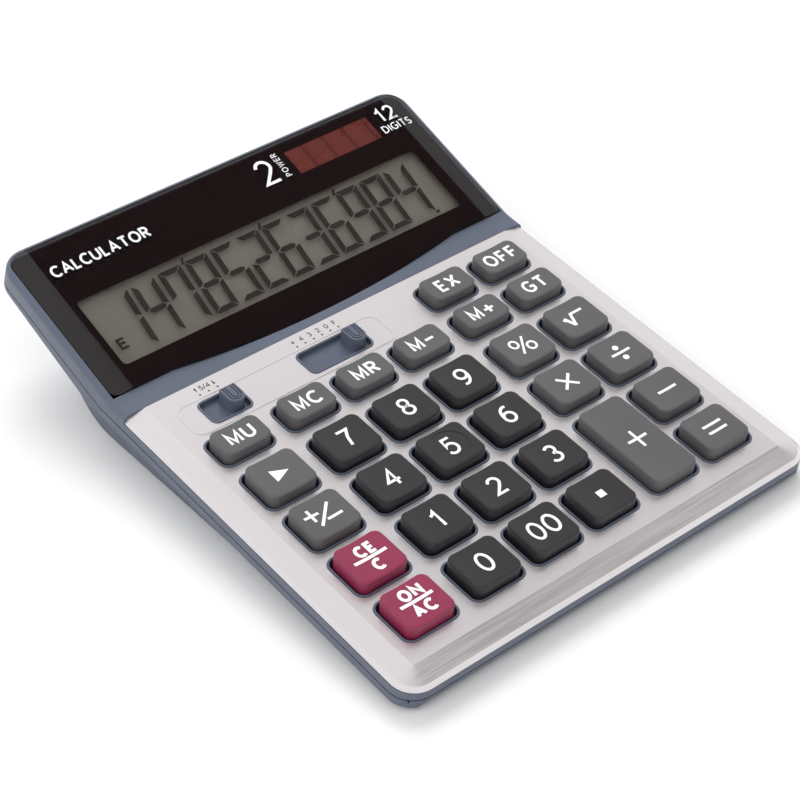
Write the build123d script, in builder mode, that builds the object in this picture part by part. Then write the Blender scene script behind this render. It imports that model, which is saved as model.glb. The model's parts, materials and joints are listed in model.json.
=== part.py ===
from build123d import *
from math import cos, radians, sin, tan
import os

# Desk calculator: wedge shaped case, aluminium keypad plate, raised display head, 31 keys,
# two slide switches, solar cell and button cell.
# Frame: +X right, +Y towards the display, +Z up, origin under the middle of the case on the table.
# Deck frame: x, v (distance back from the front edge along the keypad) and w (height over the plate).
# Head frame: x, s (distance back from the hinge line) and d (height over the window surface).

# ---------------------------------------------------------------- driving dimensions (mm)
# case
case_width = 153.6
front_y = -96.1
deck_tilt = 4.5
head_tilt = 14.0
hinge_v = 132.8
head_length = 60.9
front_depth = 9.0
foot_proud = 1.2
case_corner = 8.0
shoulder_radius = 2.2
hinge_radius = 20.0
seam_depth = 5.3
seam_groove = 0.45
head_seam_depth = 6.6
tub_depth = 8.4
tub_lean = 0.9
roof_depth = 2.55
upper_wall = 4.4
tub_wall = 2.2
tub_floor = 1.8
lip_inset = 0.6
belly_half_width = 72.8
belly_wall = 1.8
belly_front = 1.4
belly_end = 139.5
belly_radius = 20.0
belly_corner = 5.0
head_wall = 2.7
tub_back_roof = 7.3
fit_gap = 0.1

# faceplate: border steps as (drop, inset) from the flat field to the edge
plate_length = 126.6
plate_half_width = 76.5
plate_thickness = 0.5
plate_corner = 7.7
plate_steps = [(0.0, 7.3), (1.15, 1.1), (2.5, 0.0)]
outline_height = 0.2
outline_width = 0.6
outline_x = -27.3
outline_size = (74.2, 13.4)
outline_corner = 3.8
# clearance of the plastic field under the plate, and of the plate's own inside, on each border step
seat_clearance = 0.05
seat_insets = (0.1, 0.45, 0.7)
inside_insets = (0.05, 0.4, 0.6)

# key openings
collar_wall = 0.7
collar_radius = 3.4
collar_proud = 0.25
slot_radius = 2.4
opening_width = 19.6
opening_length = 17.1
short_opening_length = 12.9
column_pitch = 21.75
group_pitch = 23.7
row_pitch = 19.6
first_row = 21.3
memory_row = 98.8
off_row = 114.75

# keycaps
key_margin_x = 3.4
key_margin_v = 2.3
key_height = 4.2
key_sag = 0.55
key_radius = 2.6
key_edge = 0.7
key_wall = 1.4
key_roof = 1.6
flange_x = 3.6
flange_v = 2.6
flange_top = 2.85
flange_thickness = 1.0
flange_corner = 1.5
plunger_radius = 2.0
ring_radius = 5.9
ring_depth = 0.12

# dome mat and circuit board
mat_half_width = 66.4
mat_top = 5.55
mat_thickness = 0.7
dome_radius = 3.6
dome_height = 1.5
dome_taper = 42
mat_back = 106.0
mat_tab_left = 24.0
mat_tab_v = 113.5
mat_tab_length = 16.0
board_half_width = 70.2
board_top = 6.3
board_thickness = 1.0
board_front = 12.0
board_back = 124.6
chip_v = 88.0
chip_radius = 7.5
chip_height = 1.6
part_gap = 0.02

# slide switches
switch_v = 114.0
switch_length = 10.4
switch_pitch = 3.14
round_slot = (-50.15, 14.8)
decimal_slot = (-9.75, 23.9)
round_knob_x = -47.3
decimal_knob_x = -2.25
knob_width = 5.6
knob_length = 7.2
knob_height = 3.3
slider_top = 1.4
slider_thickness = 1.2
slider_length = 11.2
round_slider_width = 19.2
decimal_slider_width = 38.5
knob_corner = 0.6
knob_edge = 0.4
groove_width = 0.4
groove_depth = 0.35
slider_pocket_top = 1.25
slider_pocket = (-64.4, 18.0)
ridge_insets = (0.75, 1.6)

# window, display and solar cell
lens_half_width = 74.8
lens_back = 58.85
lens_front = 1.8
lens_bulge = 2.6
lens_bulge_half = 54.0
lens_thickness = 1.5
lens_proud = 0.8
facet_width = 6.8
lens_gap = 0.2
lens_corner_back = 4.5
lens_corner_front = 3.0
mask_top = 1.55
mask_thickness = 0.2
mask_inset = 0.3
pocket_depth = 1.8
shelf_depth = 2.8
window_s = 23.2
window_width = 130.0
window_length = 26.0
solar_x = 42.9
solar_s = 49.8
solar_window = (33.6, 9.8)
solar_cell_size = (36.4, 12.0)
lcd_top = 2.9
lcd_sheet = 0.7
lcd_half_width = 68.6
lcd_front = 7.0
lcd_back = 39.2
lcd_ledge = 2.6
holder_top = 4.65
holder_floor = 1.0
holder_wall = 1.1
holder_pad_radius = 3.4
holder_arm_width = 6.0
holder_gap_width = 64.0
reflector_thickness = 0.25
solar_cell_thickness = 1.1

# battery bay
cell_x = 40.0
cell_y = 37.0
cell_radius = 5.8
cell_height = 5.4
cell_base = 3.4
bay_top = 9.0
lid_half_width = 11.0
lid_front_y = 27.5
lid_back_y = 60.0
lid_thickness = 1.8
lid_rail = 1.0
bay_half_width = 13.6

foot_radius = 5.0
foot_height = 1.9
wire_radius = 0.4
ribbon_thickness = 0.15
ribbon_half_width = 22.0
screw_shank = 1.25
screw_head = 2.5
screw_head_height = 1.4
cross_length = 2.6
cross_width = 0.6
small_head = 1.5
small_head_height = 1.0
contact_thickness = 0.3
spring_width = 4.0
terminal_step = 0.4
boss_radius = 4.2

# ---------------------------------------------------------------- reference planes
tilt = radians(deck_tilt)
rise = radians(head_tilt)
deck_origin = (0, front_y, foot_proud + front_depth * cos(tilt))
deck = Plane(origin=deck_origin, x_dir=(1, 0, 0), z_dir=(0, -sin(tilt), cos(tilt)))
side = Plane(origin=deck_origin, x_dir=(0, cos(tilt), sin(tilt)), z_dir=(1, 0, 0))
head_normal = (0, -sin(tilt + rise), cos(tilt + rise))
head_along = (0, cos(tilt + rise), sin(tilt + rise))
hinge_point = deck.from_local_coords((0, hinge_v, 0))
head = Plane(origin=hinge_point, x_dir=(1, 0, 0), z_dir=head_normal)
deck_up = Axis((0, 0, 0), deck.z_dir)
head_up = Axis((0, 0, 0), head.z_dir)
half_width = case_width / 2
deck_cross = Plane(origin=deck_origin, x_dir=(1, 0, 0), z_dir=(0, -cos(tilt), -sin(tilt)))
head_cross = Plane(origin=hinge_point, x_dir=(1, 0, 0), z_dir=-Vector(*head_along))
mask_shift = -mask_top * Vector(*head_normal)


def in_deck(s, d):
    """Deck (v, w) of the head frame point (s, d)."""
    return (hinge_v + s * cos(rise) - d * sin(rise), s * sin(rise) + d * cos(rise))


def world_y(v, w):
    """World Y of the deck point (v, w)."""
    return front_y + v * cos(tilt) - w * sin(tilt)


def floor_w(v):
    """Deck height w of the flat underside at v."""
    return -front_depth - v * tan(tilt)


# ---------------------------------------------------------------- layout
half_field = group_pitch + 1.5 * column_pitch
columns = [-half_field]
for step in (group_pitch, column_pitch, column_pitch, group_pitch, column_pitch):
    columns.append(columns[-1] + step)
rows = [first_row + row_pitch * n for n in range(4)]
tall_opening_length = opening_length + row_pitch
tall_v = (rows[0] + rows[1]) / 2

# name, x, v, opening length
keys = [
    ("key_mark_up", columns[0], memory_row, short_opening_length),
    ("key_shift", columns[0], rows[3], opening_length),
    ("key_sign", columns[0], rows[2], opening_length),
    ("key_clear_entry", columns[0], rows[1], opening_length),
    ("key_on_clear", columns[0], rows[0], opening_length),
    ("key_memory_clear", columns[1], memory_row, short_opening_length),
    ("key_7", columns[1], rows[3], opening_length),
    ("key_4", columns[1], rows[2], opening_length),
    ("key_1", columns[1], rows[1], opening_length),
    ("key_0", columns[1], rows[0], opening_length),
    ("key_memory_recall", columns[2], memory_row, short_opening_length),
    ("key_8", columns[2], rows[3], opening_length),
    ("key_5", columns[2], rows[2], opening_length),
    ("key_2", columns[2], rows[1], opening_length),
    ("key_00", columns[2], rows[0], opening_length),
    ("key_memory_minus", columns[3], memory_row, short_opening_length),
    ("key_9", columns[3], rows[3], opening_length),
    ("key_6", columns[3], rows[2], opening_length),
    ("key_3", columns[3], rows[1], opening_length),
    ("key_point", columns[3], rows[0], opening_length),
    ("key_exchange", columns[4], off_row, short_opening_length),
    ("key_memory_plus", columns[4], memory_row, short_opening_length),
    ("key_percent", columns[4], rows[3], opening_length),
    ("key_multiply", columns[4], rows[2], opening_length),
    ("key_plus", columns[4], tall_v, tall_opening_length),
    ("key_off", columns[5], off_row, short_opening_length),
    ("key_grand_total", columns[5], memory_row, short_opening_length),
    ("key_root", columns[5], rows[3], opening_length),
    ("key_divide", columns[5], rows[2], opening_length),
    ("key_minus", columns[5], rows[1], opening_length),
    ("key_equals", columns[5], rows[0], opening_length),
]
# x, v, width, length, corner radius of every opening in the faceplate
openings = [(x, v, opening_width, length, collar_radius) for name, x, v, length in keys]
openings += [(x, switch_v, width, switch_length, slot_radius) for x, width in (round_slot, decimal_slot)]

post_columns = [(columns[0] + columns[1]) / 2, (columns[3] + columns[4]) / 2]
post_rows = [(rows[0] + rows[1]) / 2, (rows[2] + rows[3]) / 2]
inner_posts = [(x, v) for x in post_columns for v in post_rows]
dome_sites = [(x, v) for name, x, v, length in keys]
edge_posts = [(-68.3, 108.0), (68.3, 108.0)]
board_posts = inner_posts + edge_posts
post_radius = 1.6
board_screw_radius = 0.8
foot_sites = [(x, y) for x in (-60.0, 60.0) for y in (-80.0, 22.0)]
holder_post_x = 67.0
holder_post_s = (2.8, 43.2)
holder_post_radius = 2.6
holder_posts = [(x, s) for x in (-holder_post_x, holder_post_x) for s in holder_post_s]

# case screws: x, y, height of the head's seat, height of the joint between the bosses
front_screw_y = world_y(7.2, -6.0)
rear_screw_y = world_y(130.0, -8.0)
case_screw_sites = [(50.0, front_screw_y, 3.1, 5.0), (60.0, rear_screw_y, 6.0, 12.0)]

# ---------------------------------------------------------------- side profiles (v, w)
seam_kink = hinge_v + (head_seam_depth / cos(rise) - seam_depth) / tan(rise)
sheet_floor = -plate_steps[2][0] - fit_gap
upper_profile = [
    (0, -seam_depth),
    (0, sheet_floor),
    (plate_length + fit_gap, sheet_floor),
    (plate_length + fit_gap, 0),
    (hinge_v, 0),
    in_deck(head_length, 0),
    in_deck(head_length, -head_seam_depth),
    (seam_kink, -seam_depth),
]
underside_kink = (143.5, -9.0)
shell_bend = (137.5, -tub_depth)
underside_back = in_deck(head_length - 0.6, -8.2)
tub_profile = [
    (0, -seam_depth - seam_groove),
    (seam_kink, -seam_depth - seam_groove),
    in_deck(head_length, -head_seam_depth - seam_groove),
    underside_back,
    underside_kink,
    shell_bend,
    (tub_lean, -tub_depth),
]
lip_height = seam_groove + 0.4
lip_profile = [
    (lip_inset, -seam_depth - 0.03),
    (seam_kink, -seam_depth - 0.03),
    in_deck(head_length - lip_inset, -head_seam_depth - 0.03),
    in_deck(head_length - lip_inset, -head_seam_depth - lip_height),
    (seam_kink, -seam_depth - lip_height),
    (lip_inset, -seam_depth - lip_height),
]

# belly: flat on the table plane, then a round sweep up to the underside of the head
arc_centre = (
    belly_end + belly_radius * sin(tilt),
    floor_w(belly_end) + belly_radius * cos(tilt),
)


def on_arc(radius, turn):
    """Deck point on the round rear of the belly, turn in degrees from straight down on the table."""
    angle = radians(turn) - tilt
    return (arc_centre[0] + radius * sin(angle), arc_centre[1] - radius * cos(angle))


sweep_turn = 62.0
sweep_angle = radians(sweep_turn) - tilt
underside_slope = (underside_back[1] - underside_kink[1]) / (underside_back[0] - underside_kink[0])


def belly_face(inset, lift):
    """Side outline of the belly moved inwards by inset, reaching up to lift above the tub's bottom."""
    radius = belly_radius - inset
    floor_start = (belly_front + inset, floor_w(belly_front + inset) + inset)
    floor_stop = on_arc(radius, 0)
    swept = on_arc(radius, sweep_turn)
    shell_w = underside_kink[1] + lift + underside_slope * (swept[0] - underside_kink[0])
    run = (shell_w - swept[1]) / (sin(sweep_angle) - underside_slope * cos(sweep_angle))
    lifted = (swept[0] + run * cos(sweep_angle), swept[1] + run * sin(sweep_angle))
    with BuildSketch(side) as outline:
        with BuildLine():
            ThreePointArc(floor_stop, on_arc(radius, sweep_turn / 2), swept)
            Polyline(swept, lifted, (underside_kink[0], underside_kink[1] + lift),
                     (shell_bend[0], shell_bend[1] + lift), (belly_front + inset, -tub_depth + lift),
                     floor_start, floor_stop)
        make_face()
    return outline.sketch


def window_outline(grow, corner_back, corner_front):
    """Outline of the display window in the head plane, grown by grow."""
    with BuildSketch(head, mode=Mode.PRIVATE) as outline:
        with BuildLine():
            Line((-lens_half_width, lens_front), (-lens_bulge_half, lens_front))
            ThreePointArc((-lens_bulge_half, lens_front), (0, -lens_bulge), (lens_bulge_half, lens_front))
            Line((lens_bulge_half, lens_front), (lens_half_width, lens_front))
            Line((lens_half_width, lens_front), (lens_half_width, lens_back))
            Line((lens_half_width, lens_back), (-lens_half_width, lens_back))
            Line((-lens_half_width, lens_back), (-lens_half_width, lens_front))
        make_face()
        corners = outline.vertices().group_by(Axis.X)
        back = [group.sort_by(Axis.Y)[-1] for group in (corners[0], corners[-1])]
        front = [group.sort_by(Axis.Y)[0] for group in (corners[0], corners[-1])]
        fillet(back, corner_back)
        fillet(front, corner_front)
        offset(amount=grow)
    return outline.sketch


os.makedirs("parts", exist_ok=True)


def save(piece, name):
    """Label a finished piece and write it as its own file."""
    piece.part.label = name
    export_step(piece.part, f"parts/{name}.step")


# ================================================================ shared solids
def stepped_field(steps, back):
    """Raised rectangular field whose front and side borders fall in steps of (drop, inset)."""
    with BuildPart() as field:
        for upper_step, lower_step in zip(steps[:-1], steps[1:]):
            for drop, inset in (upper_step, lower_step):
                with BuildSketch(deck.offset(-drop)):
                    with Locations((0, (inset + back) / 2)):
                        RectangleRounded(2 * (plate_half_width - inset), back - inset,
                                         max(plate_corner - inset, 0.5))
            loft(ruled=True)
    return field.part


overrun = plate_length + 20
grown_steps = [(drop + plate_thickness + seat_clearance, inset + grow)
               for (drop, inset), grow in zip(plate_steps[:2], seat_insets)]
grown_steps.append((plate_steps[2][0] + fit_gap, seat_insets[2]))
inner_steps = [(drop + plate_thickness, inset + grow)
               for (drop, inset), grow in zip(plate_steps[:2], inside_insets)]
inner_steps.append((plate_steps[2][0] + seat_clearance, inside_insets[2]))

plastic_field = stepped_field(grown_steps, overrun)
plate_outside = stepped_field(plate_steps, overrun)
plate_inside = stepped_field(inner_steps, overrun)

with BuildPart() as belly_outside:
    extrude(belly_face(0, 0.8), amount=belly_half_width, both=True)
    fillet(belly_outside.edges().filter_by(deck_up).sort_by(Axis.Y)[:2], belly_corner)
with BuildPart() as belly_inside:
    extrude(belly_face(belly_wall, tub_floor + 0.2), amount=belly_half_width - belly_wall, both=True)


def front_corners(part):
    """The two upright edges at the front of a part."""
    return part.edges().filter_by(deck_up).sort_by(Axis.Y)[:2]


def round_plan(inset):
    """Tall block with the case's outline seen from above, moved inwards by inset."""
    with BuildPart() as plan:
        with BuildSketch(deck.offset(100)):
            with Locations((0, inset + 150)):
                RectangleRounded(case_width - 2 * inset, 300, case_corner - inset)
        extrude(amount=-200)
        with BuildSketch(head.offset(100)):
            with Locations((0, head_length - inset - 150)):
                RectangleRounded(case_width - 2 * inset, 300, case_corner - inset)
        extrude(amount=-200, mode=Mode.INTERSECT)
    return plan.part


# ================================================================ upper case
with BuildPart() as upper_case:
    with BuildSketch(side):
        with BuildLine():
            Polyline(*upper_profile, close=True)
        make_face()
    extrude(amount=half_width, both=True)
    fillet(front_corners(upper_case), case_corner)
    fillet(upper_case.edges().filter_by(head_up).sort_by(Axis.Y)[-2:], case_corner)
    hinge_edge = [e for e in upper_case.edges().filter_by(Axis.X)
                  if (e.center() - hinge_point).length < 0.5]
    fillet(hinge_edge, hinge_radius)
    shoulder = [e for e in upper_case.edges()
                if head.to_local_coords(e.center()).Z > -0.5
                and deck.to_local_coords(e.center()).Y > plate_length + 0.5
                and (abs(e.center().X) > 60 or head.to_local_coords(e.center()).Y > head_length - 1)]
    fillet(shoulder, shoulder_radius)
    add(plastic_field)
    # hollow under the keypad and under the display head
    cavity_x = half_width - upper_wall
    with BuildSketch(side):
        with BuildLine():
            Polyline((upper_wall, -seam_depth - 1), (upper_wall, -roof_depth), (hinge_v - 2, -roof_depth),
                     in_deck(2, -shelf_depth), in_deck(head_length - head_wall, -shelf_depth),
                     in_deck(head_length - head_wall, -head_seam_depth - 1),
                     (seam_kink, -seam_depth - 1),
                     close=True)
        make_face()
    extrude(amount=cavity_x, both=True, mode=Mode.SUBTRACT)
    # window pocket, display opening and solar opening
    pocket = window_outline(lens_gap, lens_corner_back, lens_corner_front)
    extrude(pocket, amount=-pocket_depth, mode=Mode.SUBTRACT)
    extrude(pocket, amount=4, mode=Mode.SUBTRACT)
    with BuildSketch(head):
        with Locations((0, window_s)):
            RectangleRounded(window_width + 2, window_length + 2, 2)
        with Locations((solar_x, solar_s)):
            Rectangle(solar_cell_size[0] + 0.4, solar_cell_size[1] + 0.4)
    extrude(amount=-shelf_depth - 1, mode=Mode.SUBTRACT)
    # collars standing in the faceplate openings
    with BuildSketch(deck.offset(-roof_depth)):
        for x, v, width, length, radius in openings:
            with Locations((x, v)):
                RectangleRounded(width - 2 * fit_gap, length - 2 * fit_gap, radius - fit_gap)
    extrude(amount=roof_depth + collar_proud)
    with BuildSketch(deck.offset(-roof_depth - 1)):
        for x, v, width, length, radius in openings:
            with Locations((x, v)):
                RectangleRounded(width - 2 * collar_wall, length - 2 * collar_wall, radius - collar_wall)
    extrude(amount=roof_depth + 2, mode=Mode.SUBTRACT)
    # pocket for the two sliders
    with BuildSketch(deck.offset(-slider_pocket_top)):
        with Locations((sum(slider_pocket) / 2, switch_v)):
            Rectangle(slider_pocket[1] - slider_pocket[0], slider_length + 0.4)
    extrude(amount=-3, mode=Mode.SUBTRACT)
    # posts that carry the board and the display holder
    with BuildSketch(deck.offset(-board_top)):
        with Locations(*board_posts):
            Circle(post_radius)
    extrude(amount=board_top - roof_depth + 0.2)
    with BuildSketch(head.offset(-holder_top)):
        with Locations(*holder_posts):
            Circle(holder_post_radius)
    extrude(amount=holder_top - shelf_depth + 0.2)
    with BuildSketch(deck.offset(-board_top - 0.5)):
        with Locations(*board_posts):
            Circle(board_screw_radius)
    extrude(amount=board_top - roof_depth, mode=Mode.SUBTRACT)
    with BuildSketch(head.offset(-holder_top - 0.5)):
        with Locations(*holder_posts):
            Circle(board_screw_radius)
    extrude(amount=2.2, mode=Mode.SUBTRACT)
    # bosses for the case screws
    for x, y, seat, joint in case_screw_sites:
        with BuildSketch(Plane.XY.offset(joint + fit_gap)):
            with Locations((x, y), (-x, y)):
                Circle(boss_radius)
        extrude(until=Until.NEXT)
        with BuildSketch(Plane.XY.offset(joint)):
            with Locations((x, y), (-x, y)):
                Circle(screw_shank)
        extrude(amount=2.6, mode=Mode.SUBTRACT)
save(upper_case, "upper_case")

# ================================================================ lower case
lid_y = (lid_front_y + lid_back_y) / 2
lid_length = lid_back_y - lid_front_y
bay_front_y = lid_front_y - 3
bay_back_y = cell_y + cell_radius + 2.5
# lip behind the groove between the two halves
with BuildPart() as lip:
    with BuildSketch(side):
        with BuildLine():
            Polyline(*lip_profile, close=True)
        make_face()
    extrude(amount=half_width, both=True)
    add(round_plan(lip_inset), mode=Mode.INTERSECT)

with BuildPart() as lower_case:
    with BuildSketch(side):
        with BuildLine():
            Polyline(*tub_profile, close=True)
        make_face()
    extrude(amount=half_width, both=True)
    add(round_plan(0), mode=Mode.INTERSECT)
    add(belly_outside.part)
    add(lip.part)
    # hollow of the tub and of the belly
    with BuildSketch(side):
        with BuildLine():
            Polyline((tub_wall, 0), (tub_wall, -tub_depth + tub_floor),
                     (shell_bend[0], shell_bend[1] + tub_floor),
                     (underside_kink[0], underside_kink[1] + tub_floor),
                     in_deck(head_length - tub_wall, -tub_back_roof), in_deck(head_length - tub_wall, 0),
                     (hinge_v, 0), close=True)
        make_face()
    extrude(amount=half_width - tub_wall, both=True, mode=Mode.SUBTRACT)
    add(belly_inside.part, mode=Mode.SUBTRACT)
    # bosses for the case screws
    for x, y, seat, joint in case_screw_sites:
        with BuildSketch(Plane.XY.offset(foot_proud)):
            with Locations((x, y), (-x, y)):
                Circle(boss_radius)
        extrude(amount=joint - foot_proud)
        with BuildSketch(Plane.XY):
            with Locations((x, y), (-x, y)):
                Circle(screw_head + 0.3)
        extrude(amount=seat, mode=Mode.SUBTRACT)
        with BuildSketch(Plane.XY):
            with Locations((x, y), (-x, y)):
                Circle(screw_shank + 0.15)
        extrude(amount=joint + 1, mode=Mode.SUBTRACT)
    # block round the cell, with the door's opening and grooves under it
    with BuildSketch(Plane.XY.offset(foot_proud)):
        with Locations((cell_x, (bay_front_y + bay_back_y) / 2)):
            Rectangle(2 * bay_half_width, bay_back_y - bay_front_y)
    extrude(amount=bay_top - foot_proud)
    with BuildSketch(Plane.XY):
        with Locations((cell_x, cell_y)):
            Circle(cell_radius + 0.3)
        with Locations((cell_x, cell_y + cell_radius + 0.1)):
            Rectangle(spring_width + 0.4, 1.4)
    extrude(amount=bay_top + 1, mode=Mode.SUBTRACT)
    door_top = foot_proud + lid_thickness
    with BuildSketch(Plane.XY):
        with Locations((cell_x, lid_y)):
            Rectangle(2 * lid_half_width + 0.6, lid_length + 0.6)
    extrude(amount=door_top + 0.25, mode=Mode.SUBTRACT)
    with BuildSketch(Plane.XY.offset(door_top - 1.1)):
        with Locations((cell_x, lid_y)):
            Rectangle(2 * (lid_half_width + lid_rail) + 0.6, lid_length + 0.6)
    extrude(amount=1.35, mode=Mode.SUBTRACT)
    # seats for the feet
    with BuildSketch(Plane.XY):
        with Locations(*foot_sites):
            Circle(foot_radius + 0.1)
    extrude(amount=foot_height + 0.05, mode=Mode.SUBTRACT)
save(lower_case, "lower_case")

# ================================================================ battery door, cell and contacts
with BuildPart() as battery_cover:
    with BuildSketch(Plane.XY.offset(foot_proud)):
        with Locations((cell_x, lid_y)):
            Rectangle(2 * lid_half_width, lid_length)
    extrude(amount=lid_thickness)
    with BuildSketch(Plane.XY.offset(foot_proud + lid_thickness - 0.8)):
        with Locations((cell_x, lid_y)):
            Rectangle(2 * (lid_half_width + lid_rail), lid_length)
    extrude(amount=0.8)
    add(belly_outside.part, mode=Mode.INTERSECT)
    # grip ridges' recess
    with BuildSketch(Plane.XY.offset(foot_proud)):
        with Locations((cell_x, lid_front_y + 5)):
            with GridLocations(1, 1.6, 1, 4):
                Rectangle(12, 0.8)
    extrude(amount=0.5, mode=Mode.SUBTRACT)
save(battery_cover, "battery_cover")

with BuildPart() as battery_cell:
    with BuildSketch(Plane.XY.offset(cell_base)):
        with Locations((cell_x, cell_y)):
            Circle(cell_radius - 1.0)
    extrude(amount=terminal_step)
    with BuildSketch(Plane.XY.offset(cell_base + terminal_step)):
        with Locations((cell_x, cell_y)):
            Circle(cell_radius)
    extrude(amount=cell_height - terminal_step)
    fillet(battery_cell.faces().sort_by(Axis.Z)[-1].edges(), terminal_step)
save(battery_cell, "battery_cell")

contact_top = bay_top + 0.05
with BuildPart() as battery_contact_minus:
    with BuildSketch(Plane.XY.offset(contact_top)):
        with Locations((cell_x - 2, cell_y)):
            Rectangle(16, 5)
    extrude(amount=contact_thickness)
    with BuildSketch(Plane.XY.offset(cell_base + cell_height + 0.03)):
        with Locations((cell_x, cell_y)):
            Circle(1.2)
    extrude(amount=contact_top - cell_base - cell_height)
save(battery_contact_minus, "battery_contact_minus")

spring_y = cell_y + cell_radius + 0.5
with BuildPart() as battery_contact_plus:
    with BuildSketch(Plane.XY.offset(cell_base + 0.5)):
        with Locations((cell_x, spring_y)):
            Rectangle(spring_width, contact_thickness)
    extrude(amount=contact_top + contact_thickness - cell_base - 0.5)
    with BuildSketch(Plane.XY.offset(contact_top)):
        with Locations((cell_x, spring_y + 0.6)):
            Rectangle(spring_width, 1.5)
    extrude(amount=contact_thickness)
save(battery_contact_plus, "battery_contact_plus")

# ================================================================ feet and screws
with BuildPart() as rubber_feet:
    with BuildSketch(Plane.XY):
        with Locations(*foot_sites):
            Circle(foot_radius)
    extrude(amount=foot_height)
    fillet(rubber_feet.faces().sort_by(Axis.Z)[0:4].edges(), 0.5)
save(rubber_feet, "rubber_feet")

with BuildPart() as case_screws:
    for x, y, seat, joint in case_screw_sites:
        with BuildSketch(Plane.XY.offset(seat)):
            with Locations((x, y), (-x, y)):
                Circle(screw_head)
        extrude(amount=-screw_head_height)
        with BuildSketch(Plane.XY.offset(seat)):
            with Locations((x, y), (-x, y)):
                Circle(screw_shank - 0.03)
        extrude(amount=joint - seat + 2.4)
        with BuildSketch(Plane.XY.offset(seat - screw_head_height)):
            with Locations((x, y), (-x, y)):
                Rectangle(cross_length, cross_width)
                Rectangle(cross_width, cross_length)
        extrude(amount=0.8, mode=Mode.SUBTRACT)
save(case_screws, "case_screws")

# ================================================================ faceplate
with BuildPart() as faceplate:
    add(plate_outside)
    add(plate_inside, mode=Mode.SUBTRACT)
    with BuildSketch(deck):
        with Locations((0, overrun)):
            Rectangle(case_width, 2 * (overrun - plate_length))
    extrude(amount=12, both=True, mode=Mode.SUBTRACT)
    with BuildSketch(deck):
        for x, v, width, length, radius in openings:
            with Locations((x, v)):
                RectangleRounded(width, length, radius)
    extrude(amount=3, both=True, mode=Mode.SUBTRACT)
    with BuildSketch(deck):
        with Locations((outline_x, switch_v)):
            RectangleRounded(*outline_size, outline_corner)
            RectangleRounded(outline_size[0] - 2 * outline_width, outline_size[1] - 2 * outline_width,
                             outline_corner - outline_width, mode=Mode.SUBTRACT)
    extrude(amount=outline_height)
save(faceplate, "faceplate")

# ================================================================ keycaps
key_width = opening_width - key_margin_x
trough_radius = (key_width / 2) ** 2 / (2 * key_sag) + key_sag / 2
trough_centre = key_height - key_sag + trough_radius

# round touch mark in the middle of the 5 key, following the trough
home_x, home_v = [(x, v) for name, x, v, length in keys if name == "key_5"][0]
with BuildPart() as touch_mark:
    with BuildSketch(deck):
        with Locations((home_x, home_v)):
            Circle(ring_radius)
    extrude(amount=key_height + 1)
    with BuildSketch(deck_cross):
        with Locations((home_x, trough_centre - ring_depth)):
            Circle(trough_radius)
    extrude(amount=200, both=True, mode=Mode.INTERSECT)

for name, x, v, length in keys:
    depth = length - key_margin_v
    with BuildPart() as keycap:
        with BuildSketch(deck.offset(-flange_top)):
            with Locations((x, v)):
                RectangleRounded(key_width, depth, key_radius)
        extrude(amount=flange_top + key_height + 0.2)
        with BuildSketch(deck_cross):
            with Locations((x, trough_centre)):
                Circle(trough_radius)
        extrude(amount=200, both=True, mode=Mode.SUBTRACT)
        top = keycap.faces().filter_by(GeomType.CYLINDER).sort_by(SortBy.RADIUS)[-1]
        fillet(top.edges(), key_edge)
        with BuildSketch(deck.offset(-flange_top)):
            with Locations((x, v)):
                RectangleRounded(key_width + flange_x, depth + flange_v, flange_corner)
        extrude(amount=-flange_thickness)
        with BuildSketch(deck.offset(key_height - key_sag - key_roof)):
            with Locations((x, v)):
                RectangleRounded(key_width - 2 * key_wall, depth - 2 * key_wall, key_radius - key_wall)
                Circle(plunger_radius, mode=Mode.SUBTRACT)
        extrude(amount=-key_height - flange_top, mode=Mode.SUBTRACT)
        if name == "key_5":
            add(touch_mark.part, mode=Mode.SUBTRACT)
    save(keycap, name)

# ================================================================ dome mat and board
with BuildPart() as keypad_mat:
    with BuildSketch(deck.offset(-mat_top)):
        with Locations((0, (board_front + mat_back) / 2)):
            Rectangle(2 * mat_half_width, mat_back - board_front)
        with Locations(((mat_tab_left + mat_half_width) / 2, mat_tab_v)):
            Rectangle(mat_half_width - mat_tab_left, mat_tab_length)
        with Locations(*inner_posts):
            Circle(post_radius + 0.4, mode=Mode.SUBTRACT)
    extrude(amount=-mat_thickness)
    with BuildSketch(deck.offset(-mat_top)):
        with Locations(*dome_sites):
            Circle(dome_radius)
    extrude(amount=dome_height, taper=dome_taper)
save(keypad_mat, "keypad_mat")

with BuildPart() as main_board:
    with BuildSketch(deck.offset(-board_top)):
        with Locations((0, (board_front + board_back) / 2)):
            RectangleRounded(2 * board_half_width, board_back - board_front, 1.5)
        with Locations(*board_posts):
            Circle(board_screw_radius + 0.3, mode=Mode.SUBTRACT)
    extrude(amount=-board_thickness)
save(main_board, "main_board")

under_board = board_top + board_thickness + part_gap
with BuildPart() as driver_chip:
    with BuildSketch(deck.offset(-under_board)):
        with Locations((0, chip_v)):
            Circle(chip_radius)
    extrude(amount=-chip_height, taper=25)
save(driver_chip, "driver_chip")

with BuildPart() as board_screws:
    with BuildSketch(deck.offset(-under_board)):
        with Locations(*board_posts):
            Circle(small_head)
    extrude(amount=-small_head_height)
    with BuildSketch(deck.offset(-under_board)):
        with Locations(*board_posts):
            Circle(board_screw_radius - 0.03)
    extrude(amount=board_thickness + 2.6)
    under_holder = holder_top + holder_floor + part_gap
    with BuildSketch(head.offset(-under_holder)):
        with Locations(*holder_posts):
            Circle(small_head)
    extrude(amount=-small_head_height)
    with BuildSketch(head.offset(-under_holder)):
        with Locations(*holder_posts):
            Circle(board_screw_radius - 0.03)
    extrude(amount=holder_floor + 1.4)
save(board_screws, "board_screws")

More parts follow.
